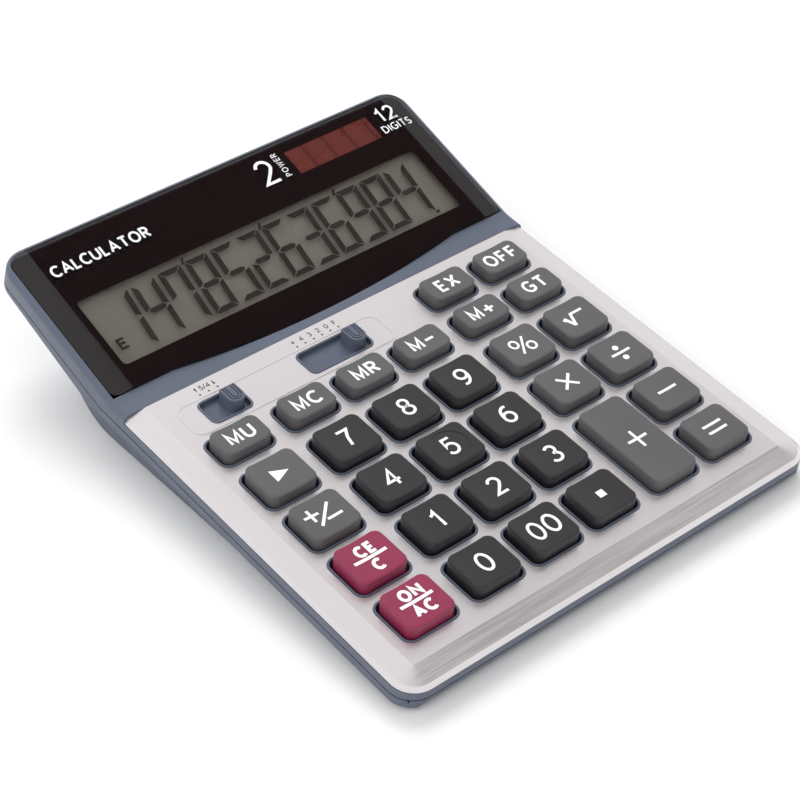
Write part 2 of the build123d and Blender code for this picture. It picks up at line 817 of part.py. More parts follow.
# ================================================================ slide switches
def knob_plan(centre, inset, mode=Mode.ADD):
    """Knob seen from above, moved inwards by inset: round at the front, straight at the back."""
    radius = knob_width / 2
    round_v = switch_v - knob_length / 2 + radius
    back_v = switch_v + knob_length / 2
    with Locations((centre, round_v)):
        Circle(radius - inset, mode=mode)
    with Locations((centre, (round_v + back_v) / 2)):
        Rectangle(knob_width - 2 * inset, back_v - round_v, mode=mode)


under_slider = slider_top + slider_thickness + part_gap
switches = [("round_switch", round_knob_x, round_slider_width),
            ("decimal_switch", decimal_knob_x, decimal_slider_width)]
for name, centre, slider_width in switches:
    with BuildPart() as knob:
        with BuildSketch(deck.offset(-slider_top)):
            with Locations((centre, switch_v)):
                Rectangle(slider_width, slider_length)
        extrude(amount=-slider_thickness)
        with BuildSketch(deck.offset(-slider_top)) as plan:
            knob_plan(centre, 0)
            fillet(plan.vertices().group_by(Axis.Y)[-1], knob_corner)
        extrude(amount=slider_top + knob_height)
        fillet(knob.faces().sort_by(deck_up)[-1].edges(), knob_edge)
        # grooves between the ridges, open at the back
        for inset in ridge_insets:
            with BuildSketch(deck.offset(knob_height)):
                knob_plan(centre, inset)
                knob_plan(centre, inset + groove_width, Mode.SUBTRACT)
            extrude(amount=-groove_depth, mode=Mode.SUBTRACT)
    save(knob, name + "_knob")

    with BuildPart() as wiper:
        with BuildSketch(deck.offset(-under_slider)):
            with Locations((centre, switch_v)):
                Rectangle(10, 6)
        extrude(amount=-contact_thickness)
        with BuildSketch(deck.offset(-under_slider)):
            with Locations((centre, switch_v)):
                with GridLocations(7.6, 3.2, 2, 2):
                    Rectangle(0.4, 1.6)
        extrude(amount=under_slider - board_top + fit_gap)
    save(wiper, name + "_wiper")

# ================================================================ window, mask, display
with BuildPart() as display_lens:
    rim = window_outline(0, lens_corner_back, lens_corner_front)
    extrude(rim, amount=-lens_thickness)
    # crown, flat in the middle and falling to the rim at both sides
    extrude(rim, amount=lens_proud)
    facet_start = lens_half_width - facet_width
    for sign in (-1, 1):
        with BuildSketch(head_cross):
            with BuildLine():
                Polyline((sign * facet_start, lens_proud), (sign * (lens_half_width + 1), -0.05),
                         (sign * (lens_half_width + 1), 3), (sign * facet_start, 3), close=True)
            make_face()
        extrude(amount=200, both=True, mode=Mode.SUBTRACT)
save(display_lens, "display_lens")

with BuildPart() as lens_mask:
    sheet = window_outline(-mask_inset, lens_corner_back - mask_inset, lens_corner_front - mask_inset)
    extrude(sheet.moved(Location(mask_shift)), amount=-mask_thickness)
    with BuildSketch(head):
        with Locations((0, window_s)):
            RectangleRounded(window_width, window_length, 1.5)
        with Locations((solar_x, solar_s)):
            Rectangle(*solar_window)
    extrude(amount=-3, mode=Mode.SUBTRACT)
save(lens_mask, "lens_mask")

with BuildPart() as lcd_glass:
    with BuildSketch(head.offset(-lcd_top)):
        with Locations((0, (lcd_front + lcd_ledge + lcd_back) / 2)):
            Rectangle(2 * lcd_half_width, lcd_back - lcd_front - lcd_ledge)
    extrude(amount=-lcd_sheet)
    with BuildSketch(head.offset(-lcd_top - lcd_sheet)):
        with Locations((0, (lcd_front + lcd_back) / 2)):
            Rectangle(2 * lcd_half_width, lcd_back - lcd_front)
    extrude(amount=-lcd_sheet)
save(lcd_glass, "lcd_glass")

reflector_top = lcd_top + 2 * lcd_sheet + part_gap
with BuildPart() as lcd_reflector:
    with BuildSketch(head.offset(-reflector_top)):
        with Locations((0, (lcd_front + lcd_back) / 2)):
            Rectangle(2 * lcd_half_width - 1, lcd_back - lcd_front - 1)
    extrude(amount=-reflector_thickness)
save(lcd_reflector, "lcd_reflector")

with BuildPart() as lcd_holder:
    with BuildSketch(head.offset(-holder_top)):
        with Locations((0, (lcd_front + lcd_back) / 2)):
            Rectangle(2 * lcd_half_width + 3, lcd_back - lcd_front + 3)
        with Locations(*holder_posts):
            Circle(holder_pad_radius)
        with Locations((-holder_post_x, window_s), (holder_post_x, window_s)):
            Rectangle(holder_arm_width, holder_post_s[1] - holder_post_s[0])
        with Locations(*holder_posts):
            Circle(board_screw_radius + 0.3, mode=Mode.SUBTRACT)
    extrude(amount=-holder_floor)
    with BuildSketch(head.offset(-holder_top)):
        with Locations((0, (lcd_front + lcd_back) / 2)):
            Rectangle(2 * (lcd_half_width + holder_wall), lcd_back - lcd_front + 2 * holder_wall)
            Rectangle(2 * lcd_half_width + 0.4, lcd_back - lcd_front + 0.4, mode=Mode.SUBTRACT)
        with Locations((0, lcd_front)):
            Rectangle(holder_gap_width, 4, mode=Mode.SUBTRACT)
    extrude(amount=holder_top - lcd_top - 0.1)
save(lcd_holder, "lcd_holder")

with BuildPart() as solar_cell:
    with BuildSketch(head.offset(-pocket_depth - seat_clearance)):
        with Locations((solar_x, solar_s)):
            Rectangle(*solar_cell_size)
    extrude(amount=-solar_cell_thickness)
save(solar_cell, "solar_cell")

# ================================================================ ribbon and wires
ribbon_on_glass = -lcd_top - lcd_sheet + part_gap + ribbon_thickness / 2
ribbon_on_board = -board_top + part_gap + ribbon_thickness / 2
with BuildPart() as lcd_ribbon:
    with BuildSketch(side):
        with BuildLine():
            FilletPolyline(in_deck(lcd_front + 2.3, ribbon_on_glass), in_deck(lcd_front - 2.5, ribbon_on_glass),
                           (127.0, ribbon_on_board), (120.8, ribbon_on_board), radius=2.0)
        trace(line_width=ribbon_thickness)
    extrude(amount=ribbon_half_width, both=True)
save(lcd_ribbon, "lcd_ribbon")

cell_back = -pocket_depth - seat_clearance - solar_cell_thickness
solder_v = 123.2
solar_routes = []
for x in (46.0, 50.0):
    solar_routes.append([
        head.from_local_coords((x, solar_s, cell_back - part_gap)),
        head.from_local_coords((x, solar_s, -6.5)),
        head.from_local_coords((x, 3.0, -6.5)),
        deck.from_local_coords((x, 128.0, -5.0)),
        deck.from_local_coords((x, solder_v, -5.0)),
        deck.from_local_coords((x, solder_v, -board_top + part_gap)),
    ])
contact_face = contact_top + contact_thickness + part_gap
battery_routes = [
    [
        (34.0, cell_y, contact_face),
        (34.0, cell_y, 15.6),
        deck.from_local_coords((34.0, solder_v, -5.0)),
        deck.from_local_coords((34.0, solder_v, -board_top + part_gap)),
    ],
    [
        (40.0, spring_y + 0.8, contact_face),
        (40.0, spring_y + 0.8, 13.0),
        (40.0, 34.0, 15.4),
        deck.from_local_coords((40.0, solder_v, -5.0)),
        deck.from_local_coords((40.0, solder_v, -board_top + part_gap)),
    ],
]
for name, routes in (("solar_wires", solar_routes), ("battery_wires", battery_routes)):
    with BuildPart() as wires:
        for points in routes:
            with BuildLine() as route:
                FilletPolyline(*points, radius=0.55)
            with BuildSketch(Plane(origin=route.line @ 0, z_dir=route.line % 0)):
                Circle(wire_radius)
            sweep(path=route.line)
    save(wires, name)
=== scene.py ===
import json
from math import cos, pi, radians, sin, sqrt, tan

import bmesh
import bpy
from mathutils import Matrix, Vector


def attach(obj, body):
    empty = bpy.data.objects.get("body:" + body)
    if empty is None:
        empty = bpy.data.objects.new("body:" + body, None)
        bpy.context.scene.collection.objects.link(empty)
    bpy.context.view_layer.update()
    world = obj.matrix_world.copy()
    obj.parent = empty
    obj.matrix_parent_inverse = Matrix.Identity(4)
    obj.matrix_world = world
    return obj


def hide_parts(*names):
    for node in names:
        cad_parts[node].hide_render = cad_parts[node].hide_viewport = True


# Desk calculator. Deck frame: x, v back along the keypad, w up from the metal plate.
# Head frame: x, s back along the window, d up from its rim. All in metres, like the model.
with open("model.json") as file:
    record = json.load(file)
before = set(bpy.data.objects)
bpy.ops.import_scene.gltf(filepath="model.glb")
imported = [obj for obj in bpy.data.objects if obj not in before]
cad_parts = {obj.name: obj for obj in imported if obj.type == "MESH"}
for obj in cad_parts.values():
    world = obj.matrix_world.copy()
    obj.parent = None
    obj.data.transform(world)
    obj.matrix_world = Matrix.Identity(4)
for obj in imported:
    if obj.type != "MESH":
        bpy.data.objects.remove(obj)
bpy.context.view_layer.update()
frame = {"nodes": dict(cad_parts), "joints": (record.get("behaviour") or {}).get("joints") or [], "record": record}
nodes = frame["nodes"]
MM = 0.001


# ------------------------------------------------------------------ frames and points
class Axes:
    """A local frame on one of the calculator's slopes."""

    def __init__(self, up):
        self.x = Vector((1, 0, 0))
        self.up = up.normalized()
        self.along = self.up.cross(self.x)
        self.zero = Vector((0, 0, 0))

    def place(self, local):
        return self.zero + self.x * local[0] + self.along * local[1] + self.up * local[2]

    def span(self, name):
        """Lowest and highest local coordinates of a node."""
        points = [vertex.co - self.zero for vertex in nodes[name].data.vertices]
        rows = [[p.dot(axis) for p in points] for axis in (self.x, self.along, self.up)]
        return Vector([min(r) for r in rows]), Vector([max(r) for r in rows])


def flat_normal(name):
    """Upward normal of a node's largest flat."""
    faces = [p for p in nodes[name].data.polygons if p.normal.z > 0.5]
    return Vector(max(faces, key=lambda p: p.area).normal)


OUTLINE_HEIGHT = 0.2 * MM
LENS_CROWN = 0.8 * MM
LENS_BACK = 58.85 * MM

press_axis = [j["axis"] for j in frame["joints"] if j["name"] == "key_5_press"][0]
deck = Axes(Vector(press_axis))
plate_low, plate_high = deck.span("faceplate")
deck.zero = deck.place((0, plate_low[1], plate_high[2] - OUTLINE_HEIGHT))
head = Axes(flat_normal("lcd_reflector"))
lens_high = head.span("display_lens")[1]
head.zero = head.place((0, lens_high[1] - LENS_BACK, lens_high[2] - LENS_CROWN))


# ------------------------------------------------------------------ mesh helpers
def new_object(name, mesh, material, body):
    """A finished piece: its object, material and body."""
    piece = bpy.data.objects.new(name, mesh)
    bpy.context.scene.collection.objects.link(piece)
    mesh.materials.append(material)
    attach(piece, body)
    return piece


def slab_mesh(name, strips, axes, surface, thickness):
    """Closed thin plates over strips of left and right points, following surface(x, y)."""
    mesh = bpy.data.meshes.new(name)
    work = bmesh.new()
    for left, right, closed in strips:
        rings = []
        for a, b in zip(left, right):
            ring = []
            for point, lift in ((a, thickness), (b, thickness), (b, 0), (a, 0)):
                height = surface(point[0], point[1]) + lift
                ring.append(work.verts.new(axes.place((point[0], point[1], height))))
            rings.append(ring)
        count = len(rings)
        for i in range(count if closed else count - 1):
            here, there = rings[i], rings[(i + 1) % count]
            for j in range(4):
                work.faces.new((here[j], here[(j + 1) % 4], there[(j + 1) % 4], there[j]))
        if not closed:
            work.faces.new(rings[0])
            work.faces.new(list(reversed(rings[-1])))
    bmesh.ops.recalc_face_normals(work, faces=work.faces)
    work.to_mesh(mesh)
    work.free()
    return mesh


def stroke(points, width, closed):
    """Left and right edges of a line of even width through points, with mitred corners."""
    sharpest_mitre = 0.45
    points = [Vector((p[0], p[1])) for p in points]
    count = len(points)
    left, right = [], []
    for i, point in enumerate(points):
        before = points[i - 1] if (i or closed) else None
        after = points[(i + 1) % count] if (i + 1 < count or closed) else None
        ways = []
        if before is not None:
            ways.append((point - before).normalized())
        if after is not None:
            ways.append((after - point).normalized())
        sides = [Vector((-w.y, w.x)) for w in ways]
        mean = sum(sides, Vector((0, 0))).normalized()
        reach = width / 2 / max(mean.dot(sides[0]), sharpest_mitre)
        left.append(point + mean * reach)
        right.append(point - mean * reach)
    return left, right, closed


def arc(cx, cy, rx, ry, start, stop, steps=14):
    """Points on an elliptical arc, angles in degrees, counter-clockwise from +x."""
    turns = [radians(start + (stop - start) * i / steps) for i in range(steps + 1)]
    return [(cx + rx * cos(t), cy + ry * sin(t)) for t in turns]


def ring(cx, cy, rx, ry, steps=28):
    """Closed ellipse."""
    return arc(cx, cy, rx, ry, 0, 360 - 360 / steps, steps - 1)


# ------------------------------------------------------------------ stroke lettering
# Each glyph is drawn on centre lines: height 1 from the base line, list of (points, closed).
def glyphs():
    """Width and centre lines of plain capitals, figures and signs; ^ and _ are arrows up and down."""
    g = {}
    g["0"] = (0.62, [(ring(0.31, 0.5, 0.31, 0.5), True)])
    g["1"] = (0.34, [([(0.0, 0.76), (0.16, 0.84), (0.28, 1.0), (0.28, 0.0)], False)])
    g["2"] = (0.60, [(arc(0.3, 0.71, 0.28, 0.29, 165, -20) + [(0.42, 0.42), (0.02, 0.0), (0.6, 0.0)],
                      False)])
    g["3"] = (0.60, [(arc(0.28, 0.75, 0.25, 0.25, 150, -90), False),
                     (arc(0.28, 0.26, 0.3, 0.26, 90, -155), False)])
    g["4"] = (0.66, [([(0.46, 0.0), (0.46, 1.0), (0.0, 0.3), (0.66, 0.3)], False)])
    g["5"] = (0.60, [([(0.54, 1.0), (0.12, 1.0), (0.05, 0.5)] + arc(0.28, 0.33, 0.31, 0.33, 130, -150),
                      False)])
    g["6"] = (0.60, [(ring(0.3, 0.31, 0.29, 0.31), True),
                     (arc(0.42, 0.4, 0.41, 0.6, 75, 185), False)])
    g["7"] = (0.58, [([(0.0, 1.0), (0.58, 1.0), (0.34, 0.55), (0.22, 0.0)], False)])
    g["8"] = (0.60, [(ring(0.3, 0.76, 0.24, 0.24), True), (ring(0.3, 0.265, 0.29, 0.265), True)])
    g["9"] = (0.60, [(ring(0.3, 0.69, 0.29, 0.31), True),
                     (arc(0.18, 0.6, 0.41, 0.6, -105, 5), False)])
    g["A"] = (0.74, [([(0.0, 0.0), (0.37, 1.0), (0.74, 0.0)], False),
                     ([(0.13, 0.33), (0.61, 0.33)], False)])
    g["C"] = (0.70, [(arc(0.42, 0.5, 0.42, 0.5, 48, 312, 20), False)])
    g["D"] = (0.70, [([(0.0, 0.0), (0.0, 1.0), (0.26, 1.0)] + arc(0.26, 0.5, 0.44, 0.5, 80, -80)
                      + [(0.26, 0.0)], True)])
    g["E"] = (0.50, [([(0.5, 1.0), (0.0, 1.0), (0.0, 0.0), (0.5, 0.0)], False),
                     ([(0.0, 0.52), (0.46, 0.52)], False)])
    g["F"] = (0.48, [([(0.48, 1.0), (0.0, 1.0), (0.0, 0.0)], False), ([(0.0, 0.5), (0.44, 0.5)], False)])
    g["G"] = (0.76, [(arc(0.42, 0.5, 0.42, 0.5, 50, 325, 20) + [(0.76, 0.48), (0.45, 0.48)], False)])
    g["I"] = (0.0, [([(0.0, 0.0), (0.0, 1.0)], False)])
    g["L"] = (0.46, [([(0.0, 1.0), (0.0, 0.0), (0.46, 0.0)], False)])
    g["M"] = (0.82, [([(0.0, 0.0), (0.0, 1.0), (0.41, 0.1), (0.82, 1.0), (0.82, 0.0)], False)])
    g["N"] = (0.70, [([(0.0, 0.0), (0.0, 1.0), (0.70, 0.0), (0.70, 1.0)], False)])
    g["O"] = (0.84, [(ring(0.42, 0.5, 0.42, 0.5), True)])
    g["P"] = (0.54, [([(0.0, 0.0), (0.0, 1.0), (0.28, 1.0)] + arc(0.28, 0.73, 0.26, 0.27, 80, -80)
                      + [(0.28, 0.46), (0.0, 0.46)], False)])
    g["R"] = (0.58, [([(0.0, 0.0), (0.0, 1.0), (0.28, 1.0)] + arc(0.28, 0.74, 0.27, 0.26, 80, -80)
                      + [(0.28, 0.48), (0.0, 0.48)], False), ([(0.27, 0.48), (0.58, 0.0)], False)])
    g["S"] = (0.56, [(arc(0.28, 0.75, 0.26, 0.25, 30, 255) + arc(0.28, 0.26, 0.28, 0.26, 75, -150), False)])
    g["T"] = (0.66, [([(0.0, 1.0), (0.66, 1.0)], False), ([(0.33, 1.0), (0.33, 0.0)], False)])
    g["U"] = (0.66, [([(0.0, 1.0)] + arc(0.33, 0.33, 0.33, 0.33, 180, 360) + [(0.66, 1.0)], False)])
    g["W"] = (1.0, [([(0.0, 1.0), (0.25, 0.0), (0.5, 0.9), (0.75, 0.0), (1.0, 1.0)], False)])
    g["X"] = (0.66, [([(0.0, 0.0), (0.66, 1.0)], False), ([(0.0, 1.0), (0.66, 0.0)], False)])
    g["/"] = (0.36, [([(0.0, -0.05), (0.36, 1.05)], False)])
    g["+"] = (0.74, [([(0.0, 0.45), (0.74, 0.45)], False), ([(0.37, 0.08), (0.37, 0.82)], False)])
    g["-"] = (0.66, [([(0.0, 0.45), (0.66, 0.45)], False)])
    g["^"] = (0.36, [([(0.18, 0.0), (0.18, 0.9)], False), ([(0.0, 0.62), (0.18, 1.0), (0.36, 0.62)], False)])
    g["_"] = (0.36, [([(0.18, 0.1), (0.18, 1.0)], False), ([(0.0, 0.38), (0.18, 0.0), (0.36, 0.38)], False)])
    return g


GLYPHS = glyphs()


def word_lines(text, height, gap, width_scale=1.0):
    """Centre lines of a word centred on the origin, height measured between centre lines."""
    lines, cursor = [], 0.0
    for letter in text:
        width, parts = GLYPHS[letter]
        for points, closed in parts:
            sized = [(cursor + p[0] * height * width_scale, (p[1] - 0.5) * height) for p in points]
            lines.append((sized, closed))
        cursor += width * height * width_scale + gap
    shift = (cursor - gap) / 2
    return [([(x - shift, y) for x, y in points], closed) for points, closed in lines]


def moved(lines, dx, dy, turn=0.0):
    """Lines turned by turn degrees and shifted."""
    c, s = cos(radians(turn)), sin(radians(turn))
    return [([(dx + x * c - y * s, dy + x * s + y * c) for x, y in points], closed)
            for points, closed in lines]


def strips_of(lines, width):
    """Every line widened to a strip."""
    return [stroke(points, width, closed) for points, closed in lines]


def disc_strip(cx, cy, radius, steps=20):
    """A full disc as one strip from left to right."""
    turns = [pi * i / steps for i in range(1, steps)]
    upper = [(cx - radius * cos(t), cy + radius * sin(t)) for t in turns]
    lower = [(x, 2 * cy - y) for x, y in upper]
    return [Vector(p) for p in upper], [Vector(p) for p in lower], False


def band(x0, x1, y0, y1):
    """A straight bar."""
    return [Vector((x0, y1)), Vector((x1, y1))], [Vector((x0, y0)), Vector((x1, y0))], False


# ------------------------------------------------------------------ materials
class Shader:
    """A procedural node material built round one principled shader."""

    def __init__(self, name, **sockets):
        self.material = bpy.data.materials.new(name)
        self.material.use_nodes = True
        self.tree = self.material.node_tree
        self.main = self.tree.nodes["Principled BSDF"]
        for key, value in sockets.items():
            self.main.inputs[key.replace("_", " ")].default_value = value
        self.coords = self.node("ShaderNodeTexCoord").outputs["Object"]

    def node(self, kind, **settings):
        made = self.tree.nodes.new(kind)
        for key, value in settings.items():
            setattr(made, key, value)
        return made

    def link(self, source, target):
        self.tree.links.new(source, target)

    def noise(self, scale, detail=3.0, stretch=None, roughness=0.5):
        """Noise over the object's own coordinates, optionally stretched by (x, y, z) scales."""
        source = self.coords
        if stretch:
            mapping = self.node("ShaderNodeMapping")
            mapping.inputs["Scale"].default_value = stretch
            self.link(self.coords, mapping.inputs["Vector"])
            source = mapping.outputs["Vector"]
        made = self.node("ShaderNodeTexNoise")
        made.inputs["Scale"].default_value = scale
        made.inputs["Detail"].default_value = detail
        made.inputs["Roughness"].default_value = roughness
        self.link(source, made.inputs["Vector"])
        return made.outputs["Fac"]

    def ramp(self, factor, stops):
        """Colours or greys at places along a factor."""
        made = self.node("ShaderNodeValToRGB")
        elements = made.color_ramp.elements
        while len(elements) < len(stops):
            elements.new(0.5)
        for element, (place, colour) in zip(elements, stops):
            element.position = place
            element.color = (*colour, 1) if isinstance(colour, tuple) else (colour, colour, colour, 1)
        self.link(factor, made.inputs["Fac"])
        return made.outputs["Color"]

    def colour(self, factor, stops):
        self.link(self.ramp(factor, stops), self.main.inputs["Base Color"])

    def rough(self, factor, low, high):
        self.link(self.ramp(factor, [(0.3, low), (0.7, high)]), self.main.inputs["Roughness"])

    def bump(self, heights, strength, distance=0.0002):
        """Bump from the sum of the given heights."""
        total = heights[0]
        for extra in heights[1:]:
            adder = self.node("ShaderNodeMath", operation="ADD")
            self.link(total, adder.inputs[0])
            self.link(extra, adder.inputs[1])
            total = adder.outputs[0]
        made = self.node("ShaderNodeBump")
        made.inputs["Strength"].default_value = strength
        made.inputs["Distance"].default_value = distance
        self.link(total, made.inputs["Height"])
        self.link(made.outputs["Normal"], self.main.inputs["Normal"])


def tone(colour, factor):
    return tuple(c * factor for c in colour)


def plastic(name, colour, roughness, grain=2600.0, strength=0.12, spread=0.06, **sockets):
    """Moulded plastic: slow tone changes, a fine texture and slightly uneven gloss."""
    shader = Shader(name, **sockets)
    shader.colour(shader.noise(45.0, 4.0), [(0.3, tone(colour, 1 - spread)), (0.7, tone(colour, 1 + spread))])
    shader.rough(shader.noise(160.0, 4.0), roughness - 0.05, roughness + 0.05)
    shader.bump([shader.noise(grain, 2.0), shader.noise(grain / 3, 2.0)], strength)
    return shader.material


def brushed_plate():
    """Aluminium brushed across the width under a thin clear coat."""
    shader = Shader("brushed_plate", Metallic=0.85, Coat_Weight=0.25, Coat_Roughness=0.25)
    fine = shader.noise(2600.0, 3.0, (0.012, 1.0, 1.0))
    cloud = shader.noise(14.0, 2.0)
    shader.colour(cloud, [(0.3, (0.80, 0.765, 0.775)), (0.7, (0.86, 0.825, 0.835))])
    shader.rough(fine, 0.30, 0.46)
    shader.bump([fine], 0.22, 0.00005)
    return shader.material


def metal(name, colour, roughness, stretch=(1.0, 0.1, 1.0)):
    """Plated sheet or turned metal with fine lines."""
    shader = Shader(name, Metallic=1.0)
    lines = shader.noise(1500.0, 3.0, stretch)
    shader.colour(shader.noise(120.0), [(0.3, tone(colour, 0.88)), (0.7, colour)])
    shader.rough(lines, roughness - 0.06, roughness + 0.08)
    shader.bump([lines], 0.12, 0.0001)
    return shader.material


def clear_window():
    """Polished acrylic window."""
    shader = Shader("clear_window", Transmission_Weight=1.0, IOR=1.49, Base_Color=(0.96, 0.955, 0.95, 1))
    smears = shader.noise(30.0, 4.0)
    shader.rough(smears, 0.0, 0.03)
    return shader.material


def black_print():
    """Black screen print behind the window, its slight red warmth a painted reflection."""
    shader = Shader("window_print", Specular_IOR_Level=0.05)
    # the red warmth in these near-black tones is painted reflection standing in for the window's reddish
    # reflection
    shader.colour(shader.noise(12.0, 2.0), [(0.3, (0.012, 0.008, 0.009)), (0.7, (0.02, 0.010, 0.012))])
    shader.rough(shader.noise(200.0), 0.6, 0.7)
    return shader.material


def display_film():
    """Grey green reflective film behind the liquid crystal."""
    shader = Shader("display_film", Roughness=0.55)
    shader.colour(shader.noise(18.0, 3.0), [(0.3, (0.46, 0.44, 0.37)), (0.7, (0.52, 0.49, 0.42))])
    shader.bump([shader.noise(3000.0)], 0.1, 0.00005)
    return shader.material


def display_glass():
    """Thin clear glass of the display cell."""
    shader = Shader("display_glass", Alpha=0.12, Base_Color=(0.55, 0.56, 0.5, 1))
    shader.rough(shader.noise(60.0), 0.18, 0.26)
    return shader.material


def solar_face():
    """Dark red amorphous cell with fine dividing lines."""
    shader = Shader("solar_face", Coat_Weight=0.6, Coat_Roughness=0.08)
    wave = shader.node("ShaderNodeTexWave", wave_type="BANDS", bands_direction="X")
    wave.inputs["Scale"].default_value = 38.0
    shader.link(shader.coords, wave.inputs["Vector"])
    shader.colour(wave.outputs["Fac"], [(0.0, (0.22, 0.045, 0.04)), (0.06, (0.36, 0.075, 0.065)),
                                        (1.0, (0.40, 0.085, 0.07))])
    shader.rough(shader.noise(200.0), 0.25, 0.35)
    return shader.material


def circuit_board():
    """Green solder mask with faint copper runs."""
    shader = Shader("circuit_board", Coat_Weight=0.4)
    brick = shader.node("ShaderNodeTexBrick")
    brick.inputs["Scale"].default_value = 160.0
    brick.inputs["Color1"].default_value = (0.03, 0.15, 0.06, 1)
    brick.inputs["Color2"].default_value = (0.025, 0.12, 0.05, 1)
    brick.inputs["Mortar"].default_value = (0.05, 0.24, 0.09, 1)
    shader.link(shader.coords, brick.inputs["Vector"])
    shader.link(brick.outputs["Color"], shader.main.inputs["Base Color"])
    shader.rough(shader.noise(300.0), 0.35, 0.45)
    return shader.material


CASE_BLUE = (0.092, 0.108, 0.150)
KEY_BLACK = (0.021, 0.019, 0.021)
KEY_GREY = (0.096, 0.093, 0.096)
KEY_RED = (0.25, 0.022, 0.068)
materials = {
    "case_plastic": plastic("case_plastic", CASE_BLUE, 0.42),
    "plate_metal": brushed_plate(),
    "key_black": plastic("key_black", KEY_BLACK, 0.40),
    "key_grey": plastic("key_grey", KEY_GREY, 0.42),
    "key_red": plastic("key_red", KEY_RED, 0.42),
    "window_clear": clear_window(),
    "window_print": black_print(),
    "display": display_glass(),
    "reflector": display_film(),
    "solar": solar_face(),
    "board": circuit_board(),
    "epoxy": plastic("potting", (0.015, 0.015, 0.017), 0.3),
    "silicone": plastic("silicone", (0.45, 0.46, 0.47), 0.5, Subsurface_Weight=0.1),
    "foot_rubber": plastic("foot_rubber", (0.022, 0.022, 0.024), 0.75, strength=0.3),
    "contact_metal": metal("contact_metal", (0.66, 0.63, 0.58), 0.3),
    "screw_steel": metal("screw_steel", (0.52, 0.52, 0.54), 0.32),
    "cell_steel": metal("cell_steel", (0.70, 0.70, 0.70), 0.22),
    "film": plastic("ribbon_film", (0.42, 0.24, 0.06), 0.35),
    "wire": plastic("wire_sleeve", (0.42, 0.02, 0.02), 0.4),
    "print_white": plastic("print_white", (0.86, 0.88, 0.90), 0.38, strength=0.05, spread=0.02),
    "display_ink": plastic("display_ink", (0.045, 0.044, 0.037), 0.5, strength=0.05),
    "plate_ink": plastic("plate_ink", (0.03, 0.03, 0.032), 0.5, strength=0.05),
}
for entry in frame["record"]["subparts"]:
    piece = nodes[entry["node"]]
    piece.data.materials.clear()
    piece.data.materials.append(materials[entry["material_slot"]])


# ------------------------------------------------------------------ display window
LENS_HALF_WIDTH = lens_high[0]
LENS_FRONT = 1.8 * MM
BULGE = 4.4 * MM
BULGE_HALF = 54.0 * MM
CORNER_BACK = 4.5 * MM
CORNER_FRONT = 3.0 * MM
LENS_BOTTOM = -1.5 * MM
FACET_START = 68.0 * MM
FACET_DROP = LENS_CROWN / (LENS_HALF_WIDTH - FACET_START)


def lens_top(x, s):
    """Height of the window's outer surface, falling to the rim at both sides."""
    return LENS_CROWN - max(0.0, abs(x) - FACET_START) * FACET_DROP


def corner_cut(x, radius):
    """How far a rounded corner has turned in at x."""
    over = max(0.0, abs(x) - (LENS_HALF_WIDTH - radius))
    return radius - sqrt(max(radius * radius - over * over, 0.0))


def lens_front(x):
    """Front edge of the window: a shallow bow in the middle."""
    bow_radius = (BULGE_HALF ** 2 + BULGE ** 2) / (2 * BULGE)
    bow = sqrt(bow_radius ** 2 - min(abs(x), BULGE_HALF) ** 2) - (bow_radius - BULGE)
    return LENS_FRONT - bow + corner_cut(x, CORNER_FRONT)


def window_mesh():
    """Solid clear window with a flat underside."""
    places = {0.0, FACET_START, BULGE_HALF}
    places.update(BULGE_HALF * i / 24 for i in range(24))
    for radius in (CORNER_BACK, CORNER_FRONT):
        places.update(LENS_HALF_WIDTH - radius * (1 - sin(pi / 2 * i / 10)) for i in range(10))
    places.add(LENS_HALF_WIDTH - 0.01 * MM)
    across = sorted({-x for x in places} | places)
    mesh = bpy.data.meshes.new("window")
    work = bmesh.new()
    rings = []
    for x in across:
        back, front = LENS_BACK - corner_cut(x, CORNER_BACK), lens_front(x)
        top = lens_top(x, back)
        corners = ((back, top), (front, top), (front, LENS_BOTTOM), (back, LENS_BOTTOM))
        rings.append([work.verts.new(head.place((x, s, d))) for s, d in corners])
    for here, there in zip(rings[:-1], rings[1:]):
        for j in range(4):
            work.faces.new((here[j], here[(j + 1) % 4], there[(j + 1) % 4], there[j]))
    work.faces.new(rings[0])
    work.faces.new(list(reversed(rings[-1])))
    bmesh.ops.recalc_face_normals(work, faces=work.faces)
    work.to_mesh(mesh)
    work.free()
    return mesh


window = new_object("window", window_mesh(), materials["window_clear"], "case")
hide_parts("display_lens")

# ------------------------------------------------------------------ key legends
LINE = 0.92 * MM
BOLD = 1.05 * MM
FIGURE = 6.1 * MM
CAPITAL = 4.4 * MM
STACKED = 3.3 * MM
PRINT = 0.03 * MM
LETTER_GAP = 1.75 * MM
STACKED_GAP = 1.5 * MM
STACKED_BAR = 5.5 * MM
OVER_BAR = (0.3 * MM, 3.0 * MM)
UNDER_BAR = (0.2 * MM, -3.2 * MM)
ROOT_HEAVY = 1.2 * MM
PERCENT_LINE = 0.75 * MM
PERCENT_RING = (1.35 * MM, 1.55 * MM)
PERCENT_PLACE = (2.3 * MM, 1.5 * MM)
TRIANGLE_TIP = 2.6 * MM
TRIANGLE_BACK = -2.7 * MM
TRIANGLE_HALF = 2.4 * MM
TIP_HALF = 0.02 * MM
HALF = 3.55 * MM
CROSS = 2.55 * MM
POINT_HALF = 1.25 * MM
DIVIDE_DOT = 1.0 * MM
DIVIDE_DOT_Y = 2.4 * MM
EQUALS_Y = 0.95 * MM
LONGEST_RUN = 0.7 * MM


def legend(name, text):
    """Centre lines of the words printed on a key."""
    return word_lines(text, FIGURE if name[4:].isdigit() else CAPITAL, LETTER_GAP)


